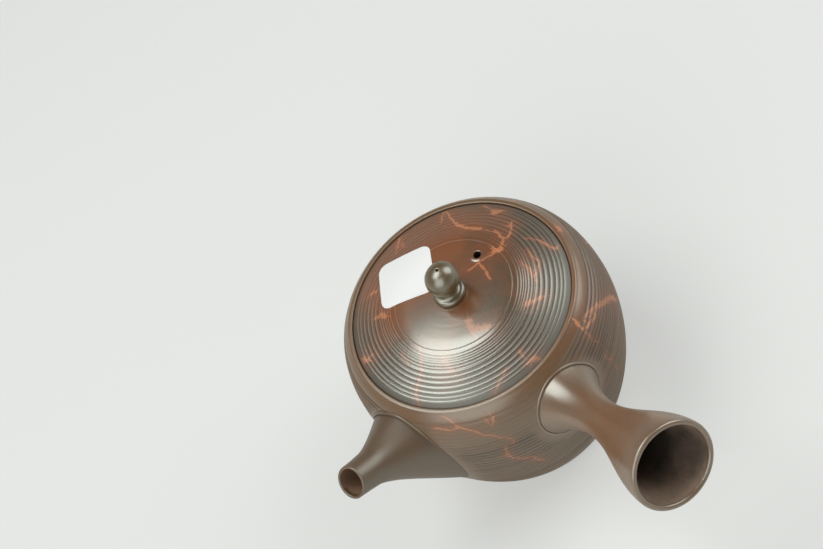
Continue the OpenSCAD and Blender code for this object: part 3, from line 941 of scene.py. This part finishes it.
def veins_over(tree, clay, place, cloud, groove):
    """Orange veins with redder clay round them, laid over a colour. They fade under the painted shade in
    the grooves.
    """
    gap = put(tree, "Attribute", attribute_name="vein").outputs["Fac"]
    side = put(tree, "Attribute", attribute_name="vein_side").outputs["Fac"]
    strong = put(tree, "Attribute", attribute_name="vein_strength").outputs["Fac"]
    ragged = put(tree, "TexNoise", {"Vector": place, "Scale": per(RAGGED_MM), "Detail": 3.0}).outputs["Fac"]
    off = put(tree, "Math", {0: side}, operation="ABSOLUTE").outputs[0]
    ended = put(tree, "Math", {0: gap, 1: VEIN_END}, operation="SUBTRACT").outputs[0]
    off = put(tree, "Math", {0: off, 1: ended}, operation="MAXIMUM").outputs[0]
    spread = put(tree, "MapRange", {"Value": ragged, "From Min": RAGGED_FROM, "From Max": RAGGED_TO,
                                    "To Min": FRAY_IN, "To Max": FRAY_OUT}).outputs[0]
    torn = put(tree, "Math", {0: off, 1: spread}, operation="ADD").outputs[0]
    vein = put(tree, "MapRange", {"Value": torn, "From Min": EDGE_OUT, "From Max": EDGE_IN,
                                  "To Max": VEIN_COVER}).outputs[0]
    clear = put(tree, "MapRange", {"Value": groove, "To Min": 1.0, "To Max": GROOVE_COVER}).outputs[0]
    for share in (strong, clear):
        vein = put(tree, "Math", {0: vein, 1: share}, operation="MULTIPLY").outputs[0]
    halo = put(tree, "MapRange", {"Value": gap, "From Min": HALO_OUT, "From Max": HALO_IN,
                                  "To Max": HALO_COVER}).outputs[0]
    halo = put(tree, "Math", {0: halo, 1: cloud}, operation="MULTIPLY").outputs[0]
    clay = put(tree, "Mix", {0: halo, MIX_A: clay, MIX_B: linear(VEIN_HALO)},
               data_type="RGBA").outputs[MIX_OUT]
    tint = put(tree, "Mix", {0: ragged, MIX_A: linear(VEIN_DARK), MIX_B: linear(VEIN_PALE)},
               data_type="RGBA").outputs[MIX_OUT]
    return put(tree, "Mix", {0: vein, MIX_A: clay, MIX_B: tint}, data_type="RGBA").outputs[MIX_OUT]


# %% Stoneware
CLOUD_MM, GRAIN_MM, LINE_MM = 24, 0.9, 0.7
GRAIN_HIGH, LINE_HIGH = 0.05 * MM, 0.1 * MM
# How far the kiln's fire draws the clay towards red at its place and at its reach, and where red starts
# and ends. In the handle's hollow the same turn is painted shade and light
FLAME_NEAR, FLAME_FAR, RED_FROM, RED_TO = 0.35, -0.3, 0.35, 0.65
SPECK_FROM, SPECK_TO = 0.52, 0.72
GLOSS_FROM, GLOSS_TO, GLOSS_SPREAD, GROOVE_MATT = 0.3, 0.7, 0.02, 0.4
CLAY_IOR, CLAY_GLINT = 1.9, "#F7FFF5"


def stoneware(name, brown, red, dark, rough, sheen=0.85, flame_or_light_at=(0, 0, 0), reach=1, tube=None,
              rings=0.15, tooth=0.2, painted_groove_shade=0, specks=0.35):
    """Clay that turns from brown to red within reach of a place, both in mm. The place is where the kiln's
    fire reached; inside the handle it is painted light.

    Grooved clay also has veins, is matt in its grooves, and is darkened there as painted shade."""
    made, tree = new_material(name)
    place = put(tree, "TexCoord").outputs["Object"]
    turned = place
    if tube:
        frame_turn = Matrix([tube.side, tube.lift, tube.way]).transposed().to_euler()
        turned = put(tree, "Mapping", {
            "Vector": place, "Location": Vector(tube.start) * MM, "Rotation": frame_turn,
        }, vector_type="TEXTURE").outputs[0]
    parts = put(tree, "SeparateXYZ", {0: turned}).outputs
    level = put(tree, "CombineXYZ", {"X": parts["X"], "Y": parts["Y"]}).outputs[0]
    radius = put(tree, "VectorMath", {0: level}, operation="LENGTH").outputs["Value"]
    ringed = put(tree, "CombineXYZ", {"X": radius, "Z": parts["Z"]}).outputs[0]

    cloud = put(tree, "TexNoise", {"Vector": place, "Scale": per(CLOUD_MM), "Detail": 4.0}).outputs["Fac"]
    grain = put(tree, "TexNoise", {"Vector": place, "Scale": per(GRAIN_MM), "Detail": 5.0,
                                   "Roughness": 0.65}).outputs["Fac"]
    lines = put(tree, "TexNoise", {"Vector": ringed, "Scale": per(LINE_MM), "Detail": 2.0}).outputs["Fac"]

    away = put(tree, "VectorMath", {0: place, 1: Vector(flame_or_light_at) * MM}, operation="DISTANCE").outputs["Value"]
    warmth = put(tree, "MapRange", {"Value": away, "From Max": reach * MM,
                                    "To Min": FLAME_NEAR, "To Max": FLAME_FAR}).outputs[0]
    drift = put(tree, "Math", {0: cloud, 1: warmth}, operation="ADD").outputs[0]
    redness = put(tree, "MapRange", {"Value": drift, "From Min": RED_FROM, "From Max": RED_TO}).outputs[0]
    base = put(tree, "Mix", {0: redness, MIX_A: linear(brown), MIX_B: linear(red)},
               data_type="RGBA").outputs[MIX_OUT]
    grains = put(tree, "MapRange", {"Value": grain, "From Min": SPECK_FROM, "From Max": SPECK_TO,
                                    "To Max": specks}).outputs[0]
    base = put(tree, "Mix", {0: grains, MIX_A: base, MIX_B: linear(dark)},
               data_type="RGBA").outputs[MIX_OUT]
    gloss = put(tree, "MapRange", {
        "Value": grain, "From Min": GLOSS_FROM, "From Max": GLOSS_TO,
        "To Min": rough - GLOSS_SPREAD, "To Max": rough + GLOSS_SPREAD,
    }).outputs[0]
    if painted_groove_shade:
        groove = put(tree, "Attribute", attribute_name="groove").outputs["Fac"]
        # Painted shade: the clay is darkened towards its dark colour by how deep in a groove it lies
        shade = put(tree, "Math", {0: groove, 1: painted_groove_shade}, operation="MULTIPLY").outputs[0]
        base = put(tree, "Mix", {0: shade, MIX_A: base, MIX_B: linear(dark)},
                   data_type="RGBA").outputs[MIX_OUT]
        base = veins_over(tree, base, place, cloud, groove)
        matt = put(tree, "Math", {0: groove, 1: GROOVE_MATT}, operation="MULTIPLY").outputs[0]
        gloss = put(tree, "Math", {0: gloss, 1: matt}, operation="ADD").outputs[0]
    fine = put(tree, "Bump", {"Height": grain, "Strength": tooth, "Distance": GRAIN_HIGH}).outputs[0]
    turning = put(tree, "Bump", {"Height": lines, "Strength": rings, "Distance": LINE_HIGH,
                                 "Normal": fine}).outputs[0]
    shader = put(tree, "BsdfPrincipled", {
        "Base Color": base, "Roughness": gloss, "IOR": CLAY_IOR, "Specular IOR Level": sheen,
        "Specular Tint": linear(CLAY_GLINT), "Normal": turning,
    })
    put(tree, "OutputMaterial", {"Surface": shader.outputs[0]})
    return made


# %% Clay of each piece
# The dark colour of the body and the lid serves both for their grains and for the painted shade in their
# grooves
clay_body = stoneware("burnished_stoneware_combed", "#6F5237", "#74492A", "#1E150E", 0.32, sheen=0.56,
                      flame_or_light_at=(24, -44, 58), reach=48, tooth=0.05, painted_groove_shade=1, specks=0.2)
clay_lid = stoneware("burnished_stoneware_ridged", "#504130", "#834F2D", "#352518", 0.21,
                     flame_or_light_at=(14, 26, 75), reach=60, tooth=0.02, painted_groove_shade=0.6, specks=0.1)
clay_spout = stoneware("burnished_stoneware_spout", "#5A432D", "#64472F", "#3D2F21", 0.44, sheen=0.6,
                       tube=spout_tube)
clay_handle = stoneware("burnished_stoneware_handle", "#70553F", "#7C5639", "#3F3022", 0.32,
                        flame_or_light_at=(-18, -76, 64), reach=40, tube=handle_tube)
clay_knob = stoneware("burnished_stoneware_knob", "#564222", "#5A4424", "#382C1E", 0.33, sheen=0.95,
                      tooth=0.01, specks=0.05, rings=0.05)
clay_bare = stoneware("bare_stoneware", "#8A7058", "#96785C", "#574335", 0.62, sheen=0.4, rings=0.4)
# The spout's bore takes a slightly darker copy of the bare clay, as painted shade
clay_bare_spout_shaded = stoneware("bare_stoneware_spout_painted_shade", "#84664F", "#8E6B54", "#4A392D", 0.62, sheen=0.4,
                            tube=spout_tube, rings=0.4)
# Inside the handle the brown-to-red turn is painted shade and light: near-black deep in the hollow, light
# near the open end
handle_end = handle_tube.start + handle_tip * handle_tube.way
clay_handle_hollow_shaded = stoneware("bare_stoneware_handle_painted_shade", "#2C221B", "#96806E", "#2C221B", 0.62, sheen=0.4,
                             flame_or_light_at=handle_end, reach=40, tube=handle_tube, rings=0.8)
# The steam hole's wall is painted near-black as shade
clay_hole_shade = stoneware("pierced_stoneware_painted_shade", "#2E2118", "#34251A", "#1C140E", 0.8, sheen=0.2)
print("made", len([m for m in bpy.data.materials if "stoneware" in m.name]), "kinds of clay")

# %% [markdown]
# Label paper. It is coated in the mill, so it is nearly white and smooth. One flat colour would do, but
# it would look like plastic. A fine noise, as for pressed fibres, makes the white a little uneven and
# gives it a faint tooth.

# %% Blank paper
FIBRE_MM, FIBRE_HIGH = 0.5, 0.04 * MM
PAPER_ROUGH, PAPER_IOR = 0.6, 1.45


def blank_paper():
    """Coated label paper: nearly white, smooth, with a faint tooth."""
    made, tree = new_material("coated_label_paper")
    place = put(tree, "TexCoord").outputs["Object"]
    fibre = put(tree, "TexNoise", {"Vector": place, "Scale": per(FIBRE_MM), "Detail": 4.0}).outputs["Fac"]
    base = put(tree, "Mix", {0: fibre, MIX_A: linear("#DFE1DE"), MIX_B: linear("#EBECEA")},
               data_type="RGBA").outputs[MIX_OUT]
    bump = put(tree, "Bump", {"Height": fibre, "Strength": 0.15, "Distance": FIBRE_HIGH}).outputs[0]
    shader = put(tree, "BsdfPrincipled", {
        "Base Color": base, "Roughness": PAPER_ROUGH, "IOR": PAPER_IOR, "Normal": bump,
    })
    put(tree, "OutputMaterial", {"Surface": shader.outputs[0]})
    return made


paper = blank_paper()
print("made", paper.name)

# %% Dress the pieces
def dress(piece, *materials):
    """Gives a piece its materials, in order."""
    piece.data.materials.clear()
    for material in materials:
        piece.data.materials.append(material)


def bare_where(piece, is_inside):
    """Gives the second material to the faces whose middle is inside."""
    middles = np.empty(len(piece.data.polygons) * 3)
    piece.data.polygons.foreach_get("center", middles)
    inside = is_inside(middles.reshape(-1, 3) / MM).astype(np.int32)
    piece.data.polygons.foreach_set("material_index", inside)
    print(piece.name, "has", int(inside.sum()), "faces in its second clay")


def inside_tube(tube):
    """A test of whether points lie in a tube's bore."""
    def test(middles):
        along, across = split_on(tube, middles)
        wall_middle = (tube.outer_at(along) + tube.inner_at(along)) / 2
        return (lengths(across) < wall_middle) & (along < tube.outer[-1][1])
    return test


def inside_body(middles):
    """Whether points lie on the body's inner wall, below the lid's seat."""
    ring = lengths(middles[:, :2])
    hidden = (ring < belly_radius(middles[:, 2]) - WALL / 2) & (middles[:, 2] < seat_z - 0.1)
    return hidden & (middles[:, 2] > 1)


dress(pot_body, clay_body, clay_bare)
bare_where(pot_body, inside_body)
dress(spout, clay_spout, clay_bare_spout_shaded)
bare_where(spout, inside_tube(spout_tube))
dress(handle, clay_handle, clay_handle_hollow_shaded)
bare_where(handle, inside_tube(handle_tube))
dress(spout_bead, clay_spout)
dress(handle_bead, clay_handle)
# The lid's second clay, on the steam hole's wall, is painted shade
dress(lid, clay_lid, clay_hole_shade)
bare_where(lid, lambda middles: np.hypot(middles[:, 0] - STEAM_AT, middles[:, 1]) < STEAM_R + 0.02)
dress(knob, clay_knob)
dress(label, paper)
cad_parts["strainer"].material_slots[0].material = clay_bare

# %% [markdown]
# ## Each piece on its body
# The spout, the handle and their beads are fired onto the pot and stay with it. The knob and the
# label go up with the lid. Each thrown piece stands for its plain solid. The strainer keeps its own
# solid, which is already pierced.

# %% Ride and replace
for piece, body, node, slot in (
    (pot_body, "pot", "pot_body", "body_clay"),
    (spout, "pot", "spout", "spout_clay"),
    (handle, "pot", "handle", "handle_clay"),
    (lid, "lid", "lid", "lid_clay"),
    (knob, "lid", "lid_knob", "knob_clay"),
    (label, "lid", "paper_label", "label_paper"),
):
    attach(piece, body)
    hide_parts(node)
    print(piece.name, "rides on the", body, "and stands for", node)
for piece, slot in ((spout_bead, "spout_clay"), (handle_bead, "handle_clay")):
    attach(piece, "pot")

# %% [markdown]
# ## Floor and light
# A plain pale floor and three soft boxes. The top one hangs behind the pot and lies as a sheen across
# the front of the lid. The right one gives the knob and the shoulder their highlights, the left one
# lights the spout. The lens sees the floor a little brighter than the pot does, as a lit background.

# %% Floor
FLOOR_SIZE = 8
FLOOR_ROUGH = 0.8
FLOOR_GLOW = 0.5

bpy.ops.object.select_all(action="DESELECT")
bpy.ops.mesh.primitive_plane_add(size=FLOOR_SIZE)
floor = bpy.context.object
floor.name = "floor"
floor_paint, tree = new_material("pale_floor")
paint = put(tree, "BsdfPrincipled", {"Base Color": linear("#D9DBD8"), "Roughness": FLOOR_ROUGH}).outputs[0]
glow = put(tree, "Emission", {"Color": linear("#EBEDEA")}).outputs[0]
by_lens = put(tree, "LightPath").outputs["Is Camera Ray"]
seen = put(tree, "Math", {0: by_lens, 1: FLOOR_GLOW}, operation="MULTIPLY").outputs[0]
shader = put(tree, "MixShader", {0: seen, 1: paint, 2: glow})
put(tree, "OutputMaterial", {"Surface": shader.outputs[0]})
dress(floor, floor_paint)
print("the floor is", FLOOR_SIZE, "m wide")

# %% Lamps and room
AIM = Vector((-10, -20, 50)) * MM
# The room is bright up to the first height on a sphere of radius 1, and dim above the second
ROOM_LOW, ROOM_HIGH, ROOM_BRIGHT, ROOM_DIM = 0.1, 0.35, 0.45, 0.1


def soft_box(name, way, upright, width, height, glow):
    """A rectangular lamp a metre from the pot, facing it. White paper seen at a glow of 1 is white."""
    way = Vector(way).normalized()
    across = Vector(upright).cross(way).normalized()
    bpy.ops.object.light_add(type="AREA", location=AIM + way)
    lamp = bpy.context.object
    lamp.name = name
    lamp.rotation_euler = Matrix([across, way.cross(across), way]).transposed().to_euler()
    lamp.data.shape = "RECTANGLE"
    lamp.data.size, lamp.data.size_y = width, height
    lamp.data.energy = glow * math.pi * width * height
    lamp.visible_camera = False
    print(name, "gives", round(lamp.data.energy, 2), "W")


soft_box("top_box", (-0.19, 0.36, 0.91), (0, 1, 0), 0.74, 0.52, 4.9)
soft_box("right_box", (0.76, -0.31, 0.58), (0, 0, 1), 0.7, 0.85, 3.0)
soft_box("left_box", (-0.78, -0.26, 0.58), (0, 0, 1), 1.0, 0.9, 1.95)

world = bpy.data.worlds.new("white_room")
bpy.context.scene.world = world
world.use_nodes = True
tree = world.node_tree
tree.nodes.clear()
way = put(tree, "TexCoord").outputs["Generated"]
height = put(tree, "SeparateXYZ", {0: way}).outputs["Z"]
level = put(tree, "MapRange", {"Value": height, "From Min": ROOM_LOW, "From Max": ROOM_HIGH,
                               "To Min": ROOM_BRIGHT, "To Max": ROOM_DIM},
            interpolation_type="SMOOTHSTEP").outputs[0]
room = put(tree, "Background", {"Color": linear("#FBFCFA"), "Strength": level}).outputs[0]
put(tree, "OutputWorld", {"Surface": room})

bpy.context.scene.view_settings.view_transform = "Standard"
